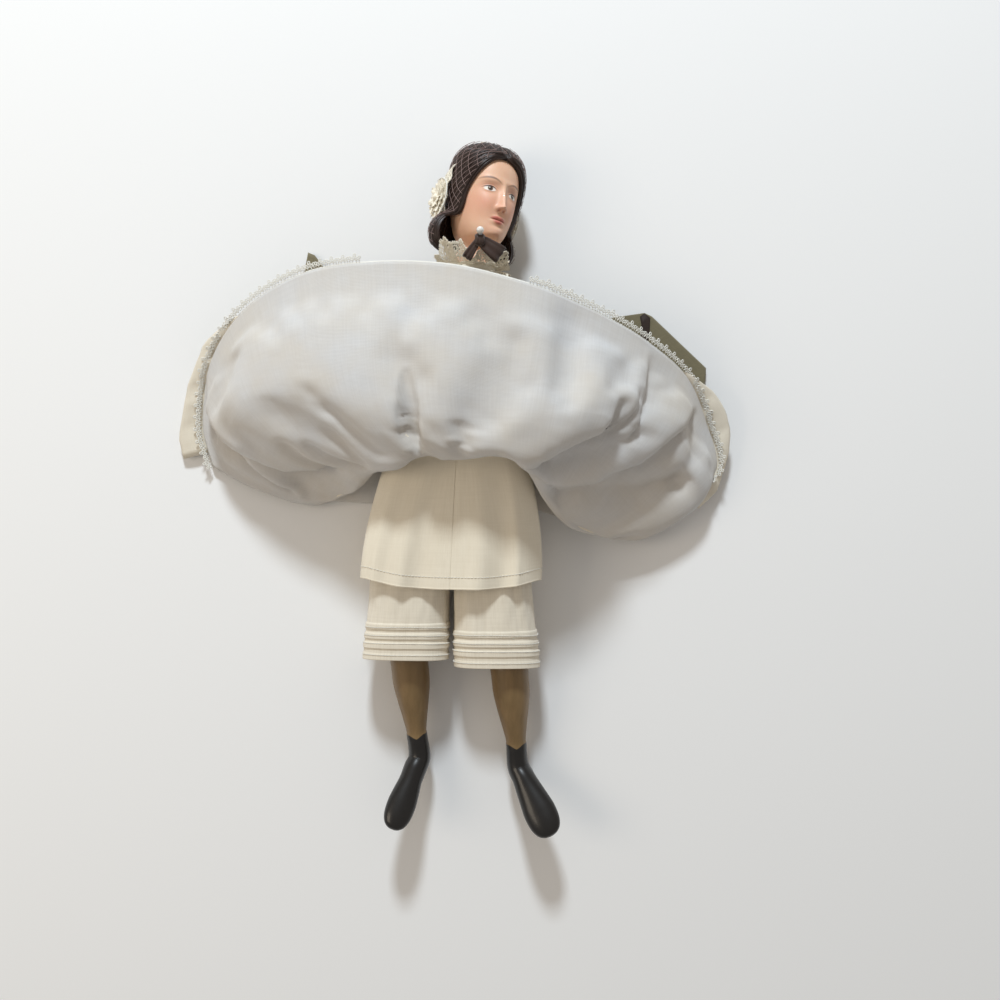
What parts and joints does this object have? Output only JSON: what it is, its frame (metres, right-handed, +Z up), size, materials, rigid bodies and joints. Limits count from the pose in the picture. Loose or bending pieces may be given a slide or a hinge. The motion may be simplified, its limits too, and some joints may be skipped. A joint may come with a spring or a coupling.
{
  "type": "cloth-bodied doll",
  "caption": "Cloth-bodied porcelain lady doll lying on its back in layered dress and underclothes, skirts turned up, with sprung swivel neck and sewn limb seams.",
  "frame": {"origin": "on the floor under the belly, on the flat underside of the petticoat's back panel", "axes": "+X to the doll's left, +Y towards its head, +Z up from the floor"},
  "size_m": [0.3849, 0.4876, 0.1025],
  "materials": {
    "muslin": "plain woven muslin, stuffed",
    "bisque": "unglazed painted porcelain with a soft sheen",
    "khaki_cloth": "fine woven dress cloth, cream lining on its wrong side",
    "button_brown": "dark brown ball buttons",
    "brown_ribbon": "dark brown satin ribbon",
    "cream_lace": "cream cotton lace",
    "white_lace": "white picot lace edging",
    "pearl": "pearl bead on a pin",
    "beech": "turned wood",
    "steel": "plain steel",
    "brown_hair": "smooth dark brown wig hair",
    "net": "fine pale hair net",
    "twine": "waxed tying cord",
    "painted_stocking": "porcelain with painted brown stocking and black boot",
    "slip_cotton": "fine cream white cotton",
    "petticoat_cotton": "fine bluish white cotton"
  },
  "bodies": {
    "torso": {"trunk": "muslin", "shoulder_plate": "bisque", "dress_bodice": "khaki_cloth", "bodice_button_1": "button_brown", "bodice_button_2": "button_brown", "bodice_button_3": "button_brown", "bodice_button_4": "button_brown", "waistband": "brown_ribbon", "lace_collar": "cream_lace", "ribbon_bow": "brown_ribbon", "bow_knot": "brown_ribbon", "pearl_pin": "pearl", "drawers_yoke": "slip_cotton", "chemise": "slip_cotton", "petticoat_front": "petticoat_cotton", "petticoat_back": "petticoat_cotton", "skirt_front": "khaki_cloth", "skirt_back": "khaki_cloth", "skirt_ribbon_front": "brown_ribbon", "skirt_ribbon_back": "brown_ribbon", "petticoat_lace_front": "white_lace", "petticoat_lace_back": "white_lace"},
    "neck_swivel": {"neck_button": "beech", "neck_bolt": "steel", "neck_washer": "steel", "neck_spring": "steel", "neck_wing_nut": "steel"},
    "head": {"head": "bisque", "crown_pate": "muslin", "wig": "brown_hair", "hair_net": "net", "lace_cap": "cream_lace", "cap_rosette_right": "cream_lace", "cap_rosette_left": "cream_lace"},
    "right_arm": {"right_upper_arm": "muslin", "right_forearm": "bisque", "right_arm_tie": "twine", "right_sleeve": "khaki_cloth"},
    "left_arm": {"left_upper_arm": "muslin", "left_forearm": "bisque", "left_arm_tie": "twine", "left_sleeve": "khaki_cloth"},
    "right_leg": {"right_thigh": "muslin", "right_lower_leg": "painted_stocking", "right_leg_tie": "twine", "right_drawers_leg": "slip_cotton"},
    "left_leg": {"left_thigh": "muslin", "left_lower_leg": "painted_stocking", "left_leg_tie": "twine", "left_drawers_leg": "slip_cotton"}
  },
  "joints": [
    {"name": "head_tilt", "type": "hinge", "parent": "torso", "child": "neck_swivel", "pos_m": [0.00467, 0.123, 0.0365], "axis": [0, 0, 1], "range_deg": [-6, 6]},
    {"name": "head_turn", "type": "hinge", "parent": "neck_swivel", "child": "head", "pos_m": [0.00467, 0.123, 0.0365], "axis": [0.1732, 0.9824, -0.0698], "range_deg": [-74, 6]},
    {"name": "right_shoulder", "type": "hinge", "parent": "torso", "child": "right_arm", "pos_m": [-0.03033, 0.098, 0.031], "axis": [0, 0, -1], "range_deg": [-3, 25], "deforming": ["right_sleeve"]},
    {"name": "left_shoulder", "type": "hinge", "parent": "torso", "child": "left_arm", "pos_m": [0.03967, 0.098, 0.031], "axis": [0, 0, 1], "range_deg": [-3, 25], "deforming": ["left_sleeve"]},
    {"name": "right_hip", "type": "hinge", "parent": "torso", "child": "right_leg", "pos_m": [-0.034, -0.048, 0.037], "axis": [-1, 0, 0], "range_deg": [0, 70], "deforming": ["chemise"]},
    {"name": "left_hip", "type": "hinge", "parent": "torso", "child": "left_leg", "pos_m": [0.016, -0.048, 0.037], "axis": [-1, 0, 0], "range_deg": [0, 70], "deforming": ["chemise"]}
  ]
}
